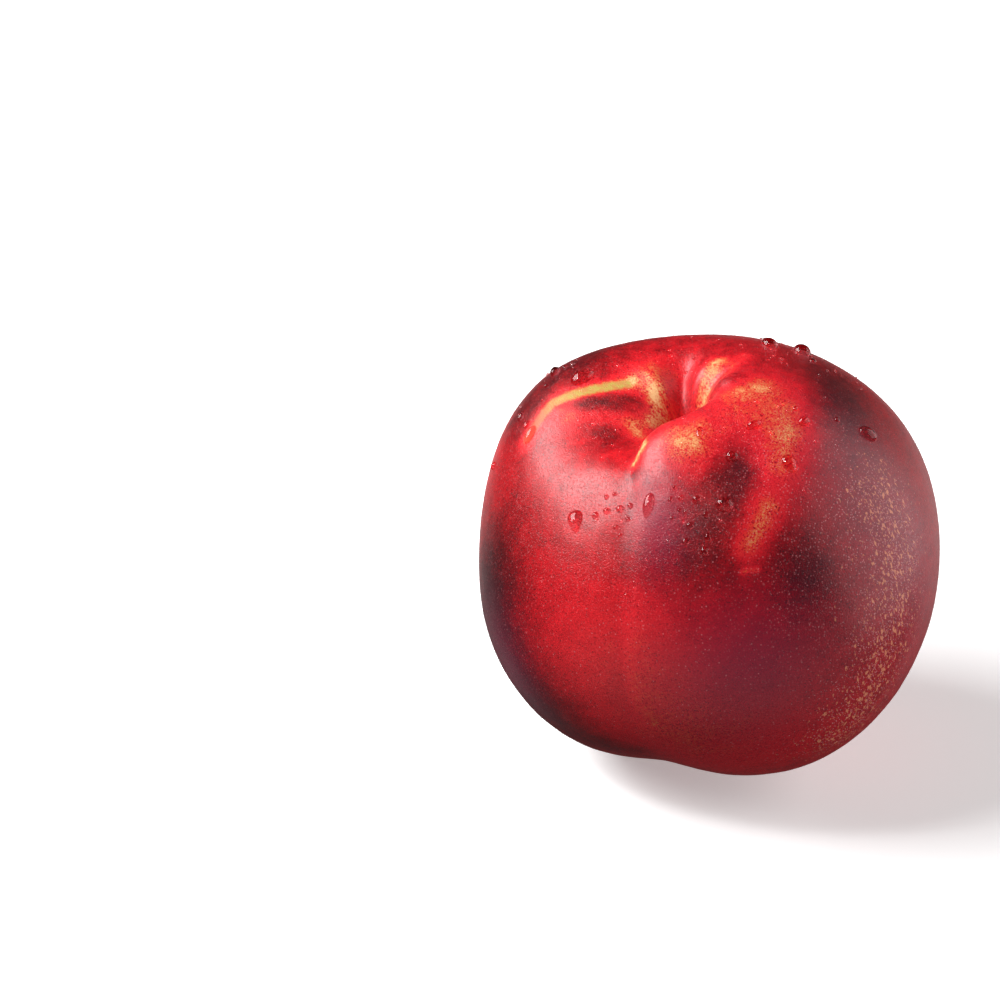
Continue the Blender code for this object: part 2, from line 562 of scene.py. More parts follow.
# %% [markdown]
# ## Where a colour goes
# The marks on this fruit are not an image: each is a soft patch or a brush stroke, named by the
# compass. A patch is an oval hill of influence round a place; a stroke is the same along a path.
# Both read the stored direction, slightly shifted by noise, so that their edges fray as real ones do.

# %% Patches and strokes


def new_material(name):
    material = bpy.data.materials.new(name)
    material.use_nodes = True
    material.node_tree.nodes.clear()
    return material, material.node_tree


def finish_material(tree, shader):
    tree.links.new(shader.socket, tree.nodes.new("ShaderNodeOutputMaterial").inputs["Surface"])


def from_hex(text):
    """A colour written as it looks on a screen, as linear light."""
    parts = [int(text[i:i + 2], 16) / 255.0 for i in (0, 2, 4)]
    return tuple(p / 12.92 if p <= 0.04045 else ((p + 0.055) / 1.055) ** 2.4 for p in parts) + (1.0,)


def mixed(share, first, second):
    """The first colour, turning into the second as share goes from 0 to 1."""
    return Wire.node(share.tree, "ShaderNodeMix", {"data_type": "RGBA"},
                     {0: share, 6: first, 7: second}, 2)


def patch(direction, azimuth, polar, width, length):
    """A soft oval hill of influence: half width round the fruit, half length along it, in degrees."""
    middle = compass(azimuth, polar)
    along = compass(azimuth, polar + 90.0)
    turn = Matrix((along.cross(middle), along, middle)).transposed().to_euler()
    sizes = [math.radians(size) for size in (width, length, max(width, length))]
    local = Wire.node(direction.tree, "ShaderNodeMapping", {"vector_type": "TEXTURE"},
                      {"Vector": direction, "Location": middle, "Rotation": turn, "Scale": sizes})
    return bell(local.length(), 1.0)


def stroke(direction, stops, width):
    """Influence along a path of (azimuth, polar) stops, width degrees to either side."""
    covered = None
    points = [compass(*stop) for stop in stops]
    for start, end in zip(points, points[1:]):
        run = end - start
        share = (direction - start).dot(run / run.length_squared).held(0.0, 1.0)
        nearest = share * run + start
        reach = bell((direction - nearest).length(), math.radians(width))
        covered = reach if covered is None else covered.join("MAXIMUM", reach)
    return covered


def spots(place, scale, size, share):
    """Small dots, one in each cell of a honeycomb, of which only a share are there."""
    cell = Wire.node(place.tree, "ShaderNodeTexVoronoi", None,
                     {"Vector": place, "Scale": scale}, "Distance")
    chosen = cell.sibling("Color").axis("X") < share
    return ease(size, size * 0.5, cell) * chosen


print("patches, strokes and spots ready")

# %% [markdown]
# ## The blush
# A ripe nectarine has a yellow ground under a red blush, and where sun and shade met, one turns
# into the other dot by dot. So the colour is one number, the blush, and a ramp from cream through
# orange and red to maroon. Every mark raises or lowers that number. Painting with red and yellow
# patches instead would give muddy edges. A few marks paint shade rather than the skin's colour: in
# the hollow and the back wall of the cavity, along the seam of the suture, down the left side and
# under the fruit. One is partly a painted highlight, on the fold of the back wall.

# %% Blush marks
BLUSH_RAMP = (
    (0.00, from_hex("dcb07a")),
    (0.12, from_hex("d4935f")),
    (0.23, from_hex("c86a42")),
    (0.34, from_hex("c83c26")),
    (0.42, from_hex("d02428")),
    (0.52, from_hex("c61720")),
    (0.62, from_hex("aa0e18")),
    (0.72, from_hex("8c0810")),
    (0.84, from_hex("5e050b")),
    (1.00, from_hex("2a0205")),
)
BLUSH_BASE = 0.65

# Name, azimuth, polar angle, half width and half length in degrees, and change of the blush.
BLUSH_PATCHES = (
    ("salmon shade beside the pit", -126, 13.5, 9.5, 6, -0.29),
    ("green skin in the pit", 0, 2, 5, 5, -0.30),
    ("yellow-green beside the crease", -35, 14, 4, 3.2, -0.42),
    ("mottled rim of the hollow", -64, 29, 10, 4, -0.13),
    # Painted shade: the floor and the steep wall of the hollow beside the stem are darkened where they lie
    # in shade.
    ("painted shade on the floor of the hollow", -42, 23.5, 9, 5, 0.13),
    ("painted shade on the wall of the hollow", -66, 19, 8, 7, 0.09),
    ("red lip of the hollow", -20, 25, 6, 5, -0.12),
    ("orange crest of the lip", 29, 22.5, 8, 6, -0.37),
    ("orange front of the lip", 34, 28.5, 7, 6, -0.23),
    ("orange top of the lip", 67, 23, 12, 6, -0.18),
    ("orange top of the cheek", 94, 29, 13, 8, -0.26),
    ("orange side of the cheek", 80, 37, 9, 7, -0.19),
    ("pink beside the cheek", 62, 41, 7, 8, -0.14),
    ("dark hollow of the cheek", 48, 35.5, 7, 9, 0.27),
    ("dark right of the suture", 31, 46, 11, 9, 0.14),
    ("maroon beside the streak", 54, 66, 8, 10, 0.24),
    ("dark below the streak", 28, 56, 12, 9, 0.12),
    ("dark middle", 10, 55, 8, 7, 0.08),
    ("red glow of the front", 2, 76, 19, 18, -0.15),
    ("red glow of the foot", 16, 105, 27, 21, -0.28),
    # Painted shade: the left side, the left foot and the underside are darkened where shade falls on them.
    ("painted shade down the left side", -47, 81, 16.5, 23, 0.39),
    ("painted shade on the left foot", -31, 103, 17, 13, 0.27),
    ("painted shade on the underside", -8, 117, 16, 8, 0.20),
    ("maroon left shoulder", -106, 35, 18, 9, 0.24),
    ("maroon outside the mark", -84, 45, 9, 6, 0.16),
    ("maroon right shoulder", 118, 45, 24, 12, 0.26),
    ("dark back shoulder", -165, 42, 24, 10, 0.10),
    ("shaded back", 168, 96, 30, 34, -0.16),
    ("shaded foot", 110, 148, 26, 20, -0.18),
)

# Name, path of azimuths and polar angles, half width in degrees, and change of the blush.
BLUSH_STROKES = (
    ("left ridge of the pit", ((-140, 19), (-126, 12), (-100, 8), (-60, 7)), 2.8, -0.08),
    ("cream foot of the ridge",
     ((-114, 8.6), (-105, 7.4), (-95, 6.5), (-76, 6.4), (-58, 8.4)), 2.8, -0.42),
    # Painted shade: the steep wall under the leaf mark faces away from the light, and this stroke darkens
    # it.
    ("painted shade under the leaf mark", ((-72, 24.5), (-79, 18), (-86, 12), (-82, 9)), 2.8, 0.16),
    ("mottled band of the hollow", ((-67, 31), (-65, 25), (-60, 18), (-54, 14)), 2.8, -0.27),
    # Painted shade: the deep valley of the cavity's back wall is darkened where it lies in shadow.
    ("painted shade in the valley of the wall", ((180, 26), (180, 12), (165, 5)), 2.2, 0.03),
    # Partly the skin's cream colour and partly a painted highlight, where the fold of the back wall catches
    # the left light.
    ("cream fold with a painted highlight", ((158, 17), (152, 10), (130, 6)), 2.8, -0.50),
    ("pale ray of the wall", ((150, 24), (132, 14)), 2.0, -0.24),
    ("cream line in the crease", ((-2, 28.4), (2, 23), (-14, 15), (-16, 11)), 1.4, -0.54),
    ("orange edge of the leaf mark",
     ((-64, 42), (-70, 36.7), (-78, 33), (-89, 21.5), (-105, 15.5)), 2.5, -0.34),
    ("orange ridge of the cheek", ((82, 16.5), (93, 19.5), (104, 23)), 3.6, -0.33),
    ("faint top of the streak", ((78, 35), (71, 37), (65, 41)), 5.2, -0.17),
    ("orange streak of the cheek", ((51.5, 47.5), (47, 51), (42, 54.5)), 4.0, -0.45),
    ("spot below the streak", ((38, 60.2), (42, 60.6)), 0.8, -0.30),
    # Painted shade: a thin dark line along the left wall of the seam, where the groove turns away from the
    # light.
    ("painted shade along the seam of the suture", ((1, 32), (3, 50), (2, 74), (1, 98)), 1.5, 0.07),
    ("bright band beside the suture", ((8, 62), (8, 78), (7, 96)), 3.0, -0.03),
)

print(len(BLUSH_PATCHES), "patches and", len(BLUSH_STROKES), "strokes")

# %% The blush over the skin
# How fine each fraying is, and how far it shifts an edge.
BROAD_FRAY = (7.0, 0.08)
CLOSE_FRAY = (45.0, 0.035)
STROKE_FRAY = (26.0, 0.030)
STREAK_SCALE = 9.0
STREAK_STRETCH = 34.0
STREAK_STRENGTH = 0.16
STREAK_EXTRA_NEAR_STEM = 0.22
CLOUD_SCALE = 16.0
CLOUD_STRENGTH = 0.14


def frayed(direction, scale, reach):
    """The direction, shifted a little by noise."""
    shift = noise(direction, scale, 3.0, "Color") - Vector((0.5, 0.5, 0.5))
    return direction + shift * reach


def blush_of(direction, polar):
    """How red the skin is, from 0, yellow ground, to 1, near-black maroon."""
    loose = frayed(frayed(direction, *BROAD_FRAY), *CLOSE_FRAY)
    tight = frayed(direction, *STROKE_FRAY)
    blush = BLUSH_BASE
    for _name, azimuth, place, width, length, change in BLUSH_PATCHES:
        blush = change * patch(loose, azimuth, place, width, length) + blush
    for _name, stops, width, change in BLUSH_STROKES:
        blush = change * stroke(tight, stops, width) + blush
    streaks = noise(round_the_stem(direction, polar, STREAK_STRETCH), STREAK_SCALE, 3.0) - 0.5
    clouds = noise(direction, CLOUD_SCALE, 3.0) - 0.5
    streakiness = STREAK_STRENGTH + STREAK_EXTRA_NEAR_STEM * ease(48, 20, polar)
    return blush + streaks * streakiness + clouds * CLOUD_STRENGTH


print("away from every mark the blush is", BLUSH_BASE)

# %% [markdown]
# ## Stipple, pores and flecks
# Close up the skin is full of dots. On pale skin the blush breaks up into dark freckles. On red
# skin each breathing pore is a pale pinprick, and on the sunny cheek these pores have stretched
# into orange flecks along the fruit. A finer pale grain lies over all the skin, and on the right
# cheek it is thick: there it is painted glints of the sheen. These are all honeycomb cells with one
# dot in each, because that gives the even but irregular spacing of pores.

# %% Freckles
FRECKLE_SCALE = 92.0
FRECKLE_STRENGTH = 0.26
SPECK_SCALE = 62.0
SPECK_STRENGTH = 0.16
DUST_SCALE = 150.0
DUST_STRENGTH = 0.42


def stippled(direction, blush):
    """The blush, broken up into dark freckles where it is pale."""
    paleness = ease(0.58, 0.30, blush) * (0.18 + 0.82 * ease(0.05, 0.28, blush))
    place = frayed(direction, 90.0, 0.012)
    freckles = spots(place, FRECKLE_SCALE, 0.55, 0.62) + spots(place, FRECKLE_SCALE * 1.7, 0.55, 0.55)
    specks = spots(direction, SPECK_SCALE, 0.30, 0.6)
    dust = noise(direction, DUST_SCALE, 2.0) - 0.5
    dotted = blush + freckles * paleness * FRECKLE_STRENGTH
    return dotted + specks * SPECK_STRENGTH + dust * DUST_STRENGTH


print("freckles about", round(fruit_high.x / FRECKLE_SCALE / MM, 2), "mm apart")

# %% Pores and flecks
PORE_SCALE = 37.0
PORE_STRENGTH = 0.42
PALE_PORE = from_hex("cc7c80")
PORELESS_SIDE = (-50, 80, 26, 40)
GRAIN_SCALE = 84.0
# Where the pale grain is thickened into painted glints of the sheen.
PAINTED_GLINTS_CHEEK = (72, 66, 22, 32)
FLECK_SCALE = 46.0
FLECK_BAND = ((86, 64), (80, 76), (70, 92), (61, 106), (55, 114))
FLECK_BAND_WIDTH = 9.0
FLECK_ORANGE = from_hex("de8464")
FLECK_PINK = from_hex("d8888c")


def pored(direction, polar, colour):
    """The colour with its pale pores, and a finer pale grain, thick on the right cheek as painted glints.
    """
    crowd = ease(25, 60, polar) * (1.0 - 0.6 * patch(direction, *PORELESS_SIDE))
    pores = spots(direction, PORE_SCALE, 0.17, 0.8) * crowd
    # The grain is light everywhere; on the right cheek the patch thickens it into painted glints of the
    # sheen.
    grainy = 0.12 + patch(frayed(direction, 12.0, 0.1), *PAINTED_GLINTS_CHEEK) * 0.5
    grain = spots(direction, GRAIN_SCALE, 0.36, 0.5) * grainy
    return mixed(pores * PORE_STRENGTH + grain, colour, PALE_PORE)


def flecked(direction, colour):
    """The colour with the band of pink dots and lengthwise orange flecks on the right cheek."""
    zone = stroke(frayed(direction, 9.0, 0.12), FLECK_BAND, FLECK_BAND_WIDTH)
    colour = mixed(spots(direction, GRAIN_SCALE * 1.3, 0.40, zone * 0.65) * 0.8, colour, FLECK_PINK)
    stretched = frayed(direction * Vector((1.0, 1.0, 0.6)), 85.0, 0.026)
    flecks = spots(stretched, FLECK_SCALE, 0.40, zone * 0.90 - 0.12)
    flecks = flecks + spots(stretched, FLECK_SCALE * 1.9, 0.42, zone * 0.60) * 0.8
    return mixed(flecks.held(0.0, 1.0) * 0.95, colour, FLECK_ORANGE)


print("pores about", round(fruit_high.x / PORE_SCALE / MM, 2), "mm apart")

# %% [markdown]
# ## The leaf mark and the purple sheen
# A leaf lay on the left shoulder while the fruit coloured, so a curved yellow mark stayed there
# under its edge. Its yellow is greener than the ground, and the ramp of the blush has no such
# colour, so the mark is painted over it with colours of its own. The ripest skin leans from
# crimson to purple, and soft patches of one purple over the ramp do that. The one right of the
# suture is painted highlight instead: it tints the gloss there lavender.

# %% Skin colour
LEAF_MARK = ((-65, 41), (-70, 37), (-77, 33), (-83, 26), (-90, 20.8), (-101, 16))
LEAF_MARK_WIDTH = 1.8
LEAF_MARK_TAIL = (-68, 39, 10, 7)
MARK_YELLOW = from_hex("a69848")
MARK_ORANGE = from_hex("b08044")
MARK_TAIL = from_hex("c45438")
CRIMSON_PURPLE = from_hex("7c1038")

# Azimuth, polar angle, half width and half length in degrees, and strength.
PURPLE_PATCHES = (
    (36, 82, 20, 16, 0.6),
    (84, 70, 20, 34, 0.45),
    # Painted highlight: this patch tints the skin lavender where the gloss lies right of the suture.
    (14, 44, 7, 13, 0.5),
    (22, 104, 24, 18, 0.24),
    (-40, 100, 14, 18, 0.45),
)


def leaf_marked(direction, colour):
    """The colour with the yellow mark that a leaf left on the left shoulder."""
    mark = stroke(frayed(direction, 30.0, 0.016), LEAF_MARK, LEAF_MARK_WIDTH)
    mark = mark + (noise(direction, 80.0, 3.0) - 0.5) * 0.6
    yellow = mixed(ease(0.35, 0.65, noise(direction, 46.0, 3.0)), MARK_ORANGE, MARK_YELLOW)
    yellow = mixed(patch(direction, *LEAF_MARK_TAIL), yellow, MARK_TAIL)
    return mixed(ease(0.28, 0.85, mark) * 0.92, colour, yellow)


def skin_colour(direction, polar):
    blush = stippled(direction, blush_of(direction, polar))
    colour = Wire.node(direction.tree, "ShaderNodeValToRGB", {"stops": BLUSH_RAMP}, {"Fac": blush}, "Color")
    purple = 0.0
    for azimuth, place, width, length, strength in PURPLE_PATCHES:
        purple = strength * patch(direction, azimuth, place, width, length) + purple
    colour = leaf_marked(direction, mixed(purple, colour, CRIMSON_PURPLE))
    return flecked(direction, pored(direction, polar, colour))


print("the leaf mark has", len(LEAF_MARK), "stops")

# %% [markdown]
# ## The skin's finish
# Nectarine skin has no fuzz but a thin wax: a soft gloss, grainy from the pores. Roughness varies
# a little, and a fine bump breaks the highlight up. The two scars are dry wood, so they are brown
# and matt.

# %% Skin material
SKIN_ROUGHNESS = 0.34
SKIN_GLOSS_LEVEL = 0.34
ROUGHNESS_CLOUDS = 0.12
HOLLOW_DULLNESS = 0.22
WOOD_DULLNESS = 0.20
PORE_DEPTH = 0.018 * MM
PORE_PIT_SCALE = 130.0
WAX_GRAIN_SCALE = 150.0
FIBRE_SCALE = 60.0
FIBRE_STRETCH = 30.0
FIBRE_SHARE = 0.5
DULL_HOLLOW = (0, 4, 12, 12)
SCAR_BROWN = from_hex("6a4426")
SCAR_TAN = from_hex("b08a5c")

# Azimuth, polar angle and size of each scar in degrees.
STEM_SCAR = (56.0, 1.8, 3.6)
BLOSSOM_SCAR = (0.0, 180.0, 2.2)


def skin_material():
    material, tree = new_material("skin")
    direction = Wire.node(tree, "ShaderNodeAttribute", {"attribute_name": "direction"}, None, "Vector")
    direction = unit(direction)
    _azimuth, polar = compass_angles(direction)
    scars = 0.0
    for azimuth, place, size in (STEM_SCAR, BLOSSOM_SCAR):
        scars = patch(frayed(direction, 60.0, 0.02), azimuth, place, size, size) + scars
    wood = ease(0.3, 0.6, scars)
    brown = mixed(noise(direction, 90.0), SCAR_BROWN, SCAR_TAN)
    colour = mixed(wood, skin_colour(direction, polar), brown)
    hollow = patch(direction, *DULL_HOLLOW)
    roughness = SKIN_ROUGHNESS + (noise(direction, 60.0) - 0.5) * ROUGHNESS_CLOUDS
    roughness = roughness + hollow * HOLLOW_DULLNESS + wood * WOOD_DULLNESS
    relief = noise(direction, WAX_GRAIN_SCALE, 3.0) - spots(direction, PORE_PIT_SCALE, 0.5, 0.9)
    relief = relief + noise(round_the_stem(direction, polar, FIBRE_STRETCH), FIBRE_SCALE) * FIBRE_SHARE
    bump = Wire.node(tree, "ShaderNodeBump", None,
                     {"Strength": 1.0, "Distance": PORE_DEPTH, "Height": relief}, "Normal")
    shader = Wire.node(tree, "ShaderNodeBsdfPrincipled", None,
                       {"Base Color": colour, "Roughness": roughness, "Normal": bump,
                        "Specular IOR Level": SKIN_GLOSS_LEVEL}, "BSDF")
    finish_material(tree, shader)
    return material


skin = skin_material()
print("the skin's material has", len(skin.node_tree.nodes), "nodes")

# %% The skin
nectarine = grow("nectarine_skin", growing_skin, {"Skin": skin})
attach(nectarine, "root")
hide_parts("nectarine")
print("skin:", count_triangles(nectarine), "triangles")

# %% [markdown]
# ## Water on the skin
# The fruit was sprinkled, and its wax makes the water stand in drops: a few big ones, many beads
# and a dust of tiny ones near the stem. A drop is a low dome with a round edge, and it stretches a
# little downhill. Each is a closed body of water that reaches slightly into the skin, so that light
# bends on its way in and the dark rim and the bright edge come by themselves. The big drops have
# places of their own, found with the compass. The tiny ones are scattered by rule.
#
# Drops on a dark fruit look crimson, because they hold its colour and shade it. That shade is hard
# to trace through clear water, so the drops cast none, and the water is tinted instead: a deep
# red for the big drops, a faint one for the tiny ones.

# %% Water material
WATER_INDEX = 1.333
WATER_ROUGHNESS = 0.01
WATER_RIPPLES = 0.03
WET_TINT = (0.48, 0.13, 0.15, 1.0)
MIST_TINT = (0.85, 0.60, 0.60, 1.0)


def water_material(name, tint):
    material, tree = new_material(name)
    place = Wire.node(tree, "ShaderNodeTexCoord", None, None, "Object")
    roughness = WATER_ROUGHNESS + noise(place, 900.0) * WATER_RIPPLES
    shader = Wire.node(tree, "ShaderNodeBsdfPrincipled", None,
                       {"Base Color": tint, "Roughness": roughness, "IOR": WATER_INDEX,
                        "Transmission Weight": 1.0}, "BSDF")
    finish_material(tree, shader)
    return material


water = water_material("water", WET_TINT)
mist = water_material("mist", MIST_TINT)
print("water bends light by", WATER_INDEX)

# %% How a drop stands
DROP_HEIGHT = 0.42
DROP_ROOT = 0.12
DROP_WOBBLE = 0.06
SKIN_BEND = 34.0 * MM
DOWN = Vector((0.0, 0.0, -1.0))


def drop_bodies(tree, points, segments, rings):
    """Stands a drop on every point that knows its foot, its up, its run and its sizes."""
    ball = Wire.node(tree, "GeometryNodeMeshUVSphere", None,
                     {"Segments": segments, "Rings": rings, "Radius": 1.0})
    ball = store(tree, ball, "FLOAT_VECTOR", "local", Wire.node(tree, "GeometryNodeInputPosition"))
    copies = Wire.node(tree, "GeometryNodeInstanceOnPoints", None, {"Points": points, "Instance": ball})
    bodies = Wire.node(tree, "GeometryNodeRealizeInstances", None, {"Geometry": copies})
    local, foot, up, run = [recall(tree, "FLOAT_VECTOR", name) for name in ("local", "foot", "up", "run")]
    width, length, pear = [recall(tree, "FLOAT", name) for name in ("width", "length", "pear")]
    wobble = 1.0 + (noise(foot / MM + local, 1.1, 1.0) - 0.5) * DROP_WOBBLE
    sideways = local.axis("X") * width * 0.5 * wobble * (1.0 + pear * local.axis("Y"))
    uphill = local.axis("Y") * length * 0.5 * wobble
    height = local.axis("Z").join("MAXIMUM", 0.0) * width * DROP_HEIGHT
    height = height + local.axis("Z").join("MINIMUM", 0.0) * width * DROP_ROOT
    sunk = height - (sideways * sideways + uphill * uphill) / (2.0 * SKIN_BEND)
    place = foot + up.join("CROSS_PRODUCT", run) * sideways - run * uphill + up * sunk
    bodies = Wire.node(tree, "GeometryNodeSetPosition", None, {"Geometry": bodies, "Position": place})
    return Wire.node(tree, "GeometryNodeSetShadeSmooth", None, {"Geometry": bodies})


print("a drop is", DROP_HEIGHT, "of its width high")

# %% Places of the big drops
# Azimuth, polar angle, width and length in mm, turn in degrees, and pear shape: above 0 is wider uphill.
RUNNING_DROPS = (
    (-79, 43, 1.1, 1.7, 40, 0.0),
    (-72, 41, 1.0, 1.5, 45, 0.0),
    (-65, 40.5, 1.7, 3.2, 25, 0.1),
    (-18, 47.6, 2.3, 3.5, 30, 0.55),
    (10, 40.5, 1.7, 3.9, 9, 0.15),
    (67, 41.5, 2.2, 3.1, 10, 0.2),
    (70, 28, 2.6, 1.3, 20, 0.0),
    (104, 53.5, 2.4, 3.4, 20, 0.1),
    (-150, 70, 2.6, 3.0, 0, 0.1),
)

# Azimuth, polar angle, width and length in mm.
BEADS = (
    (-95, 27.3, 2.9, 4.2),
    (-100, 38, 2.1, 1.6),
    (-103, 36, 0.9, 0.8),
    (-90, 37, 0.9, 0.8),
    (-73, 57, 1.1, 1.3),
    (-11, 44.5, 1.1, 1.2),
    (-7, 42.5, 1.1, 1.1),
    (-2, 41.5, 1.2, 1.2),
    (2, 40.5, 0.9, 0.9),
    (-9, 39, 0.8, 0.8),
    (-6, 38, 0.7, 0.7),
    (2, 44, 0.8, 0.8),
    (-2, 46.5, 0.8, 0.9),
    (0, 48, 0.7, 0.7),
    (19, 39, 0.9, 0.9),
    (21, 36, 0.7, 0.7),
    (19, 44, 0.6, 0.6),
    (23, 42, 0.6, 0.6),
    (25, 42.5, 0.6, 0.6),
    (24, 39, 1.0, 0.9),
    (30, 40, 1.5, 1.4),
    (32, 44.5, 0.9, 1.0),
    (26, 46.5, 1.3, 1.2),
    (24, 50, 1.3, 1.2),
    (31, 50, 1.1, 1.4),
    (29, 53.5, 1.3, 1.5),
    (39, 43, 2.8, 2.3),
    (50, 32, 2.2, 1.8),
    (88, 36.5, 2.1, 1.6),
    (93, 33, 1.0, 0.8),
    (100, 44, 1.0, 0.9),
    (40, 23, 1.2, 2.4),
    (4, 63, 1.0, 0.6),
    (159, 37, 2.9, 2.2),
    (152, 45, 3.1, 2.6),
    (143, 44, 1.2, 1.1),
    (-166, 15, 0.6, 0.7),
    (-172, 19, 0.7, 0.6),
    (157, 15, 0.6, 0.6),
    (-170, 62, 1.8, 2.0),
    (-128, 60, 1.4, 1.5),
    (175, 52, 1.2, 1.4),
)
DROPS = RUNNING_DROPS + tuple(bead + (0, 0.0) for bead in BEADS)
print(len(RUNNING_DROPS), "drops that run and", len(BEADS), "beads")

# %% Feet on the skin


def find_on_skin(skin_mesh):
    """A search tree over the skin's own compass directions."""
    directions = skin_mesh.attributes["direction"].data
    search = KDTree(len(directions))
    for index, item in enumerate(directions):
        search.insert(item.vector, index)
    search.balance()
    return search


def downhill_run(up, turn):
    """The way down the skin at a place, turned by some degrees."""
    run = (DOWN - up * DOWN.dot(up)).normalized()
    return Matrix.Rotation(math.radians(turn), 3, up) @ run


def drop_starts(drops, skin_mesh):
    """A mesh of points, one for each drop, that know how their drop stands."""
    search = find_on_skin(skin_mesh)
    mesh = bpy.data.meshes.new("drop_starts")
    vectors = {"foot": [], "up": [], "run": []}
    numbers = {"width": [], "length": [], "pear": []}
    for azimuth, polar, width, length, turn, pear in drops:
        nearest = skin_mesh.vertices[search.find(compass(azimuth, polar))[1]]
        vectors["foot"].append(nearest.co)
        vectors["up"].append(nearest.normal)
        vectors["run"].append(downhill_run(nearest.normal, turn))
        for name, value in (("width", width * MM), ("length", length * MM), ("pear", pear)):
            numbers[name].append(value)
    mesh.from_pydata(vectors["foot"], [], [])
    for name, values in vectors.items():
        flat = [part for value in values for part in value]
        mesh.attributes.new(name, "FLOAT_VECTOR", "POINT").data.foreach_set("vector", flat)
    for name, values in numbers.items():
        mesh.attributes.new(name, "FLOAT", "POINT").data.foreach_set("value", values)
    return mesh


drop_feet = drop_starts(DROPS, nectarine.data)
print(len(drop_feet.vertices), "feet on the skin")

# %% Big drops
BIG_DROP_SEGMENTS = 26
BIG_DROP_RINGS = 18


def big_drop_tree():
    inputs = {"Geometry": ("NodeSocketGeometry", None), "Segments": ("NodeSocketInt", BIG_DROP_SEGMENTS),
              "Rings": ("NodeSocketInt", BIG_DROP_RINGS), "Water": ("NodeSocketMaterial", None)}
    tree, given = new_tree("Big Drops", inputs)
    bodies = drop_bodies(tree, given["Geometry"], given["Segments"], given["Rings"])
    close_tree(tree, bodies, given["Water"])
    return tree


big_drops = grow("big_drops", big_drop_tree(), {"Water": water}, drop_feet)
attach(big_drops, "root")
big_drops.visible_shadow = False
print(len(DROPS), "big drops:", count_triangles(big_drops), "triangles")

# %% Tiny drops
# Azimuth, polar angle, half width in degrees and share of the sprinkle.
SPRINKLES = (
    (6, 45, 13, 1.0),
    (30, 46, 9, 0.4),
    (-42, 21, 7, 2.2),
    (-165, 18, 8, 1.2),
    (38, 24, 9, 0.5),
    (84, 28, 12, 0.6),
    (-95, 36, 12, 0.6),
    (150, 40, 14, 0.5),
    (-150, 55, 22, 0.3),
)
TINY_DROP_SEED = 11
TINY_DROP_SEGMENTS = 9
TINY_DROP_RINGS = 6
TINY_DROP_WIDTH = 0.20 * MM
TINY_DROP_SPREAD = 0.45 * MM
TINY_DROP_LENGTH = 1.1
DROPS_PER_SQUARE_METRE = 3.4e5


def tiny_drop_tree():
    inputs = {"Geometry": ("NodeSocketGeometry", None),
              "Drops per Square Metre": ("NodeSocketFloat", DROPS_PER_SQUARE_METRE),
              "Seed": ("NodeSocketInt", TINY_DROP_SEED), "Water": ("NodeSocketMaterial", None)}
    tree, given = new_tree("Tiny Drops", inputs)
    direction = recall(tree, "FLOAT_VECTOR", "direction")
    sprinkled = 0.0
    for azimuth, polar, width, share in SPRINKLES:
        away = (direction - compass(azimuth, polar)).length()
        sprinkled = share * bell(away, math.radians(width)) + sprinkled
    points = Wire.node(tree, "GeometryNodeDistributePointsOnFaces", {"distribute_method": "RANDOM"},
                       {"Mesh": given["Geometry"], "Density": sprinkled * given["Drops per Square Metre"],
                        "Seed": given["Seed"]}, "Points")
    up = points.sibling("Normal")
    run = unit(up * -up.dot(DOWN) + DOWN)
    luck = Wire.node(tree, "FunctionNodeRandomValue", {"data_type": "FLOAT"},
                     {2: 0.0, 3: 1.0, "Seed": TINY_DROP_SEED}, 1)
    width = TINY_DROP_WIDTH + luck ** 3.0 * TINY_DROP_SPREAD
    place = Wire.node(tree, "GeometryNodeInputPosition")
    for kind, name, value in (("FLOAT_VECTOR", "foot", place), ("FLOAT_VECTOR", "up", up),
                              ("FLOAT_VECTOR", "run", run), ("FLOAT", "width", width),
                              ("FLOAT", "length", width * TINY_DROP_LENGTH), ("FLOAT", "pear", 0.0)):
        points = store(tree, points, kind, name, value)
    bodies = drop_bodies(tree, points, TINY_DROP_SEGMENTS, TINY_DROP_RINGS)
    close_tree(tree, bodies, given["Water"])
    return tree


tiny_drops = grow("tiny_drops", tiny_drop_tree(), {"Water": mist}, nectarine.data)
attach(tiny_drops, "root")
tiny_drops.visible_shadow = False
print("tiny drops:", count_triangles(tiny_drops), "triangles")

# %% [markdown]
# ## Studio
# A plain pale floor and soft light. A softbox on the left gives the pink highlight across the left
# shoulder, a larger and weaker one on the right gives the dull sheen of the cheek, and a small
# bright one puts a crisp glint in each drop. The world adds a little light from all sides. Most of
# it comes from below in front, as from a pale table, and weaker glows behind the fruit light its rim.
# The floor shines a little by itself, and more with distance, so that it stays pale to the horizon.

# %% Floor
FLOOR_HALF = 2.5
FLOOR_DROP = 0.1 * MM
FLOOR_GLOW_NEAR = 0.35
FLOOR_GLOW_RISE = 0.60
FLOOR_GLOW_SPAN = (0.15, 0.80)


def floor_material():
    material, tree = new_material("floor")
    away = Wire.node(tree, "ShaderNodeTexCoord", None, None, "Object").length()
    glow = FLOOR_GLOW_NEAR + FLOOR_GLOW_RISE * ease(*FLOOR_GLOW_SPAN, away)
    shader = Wire.node(tree, "ShaderNodeBsdfPrincipled", None,
                       {"Base Color": (0.86, 0.86, 0.86, 1.0), "Roughness": 0.9,
                        "Emission Color": glow, "Emission Strength": 1.0}, "BSDF")
    finish_material(tree, shader)
    return material


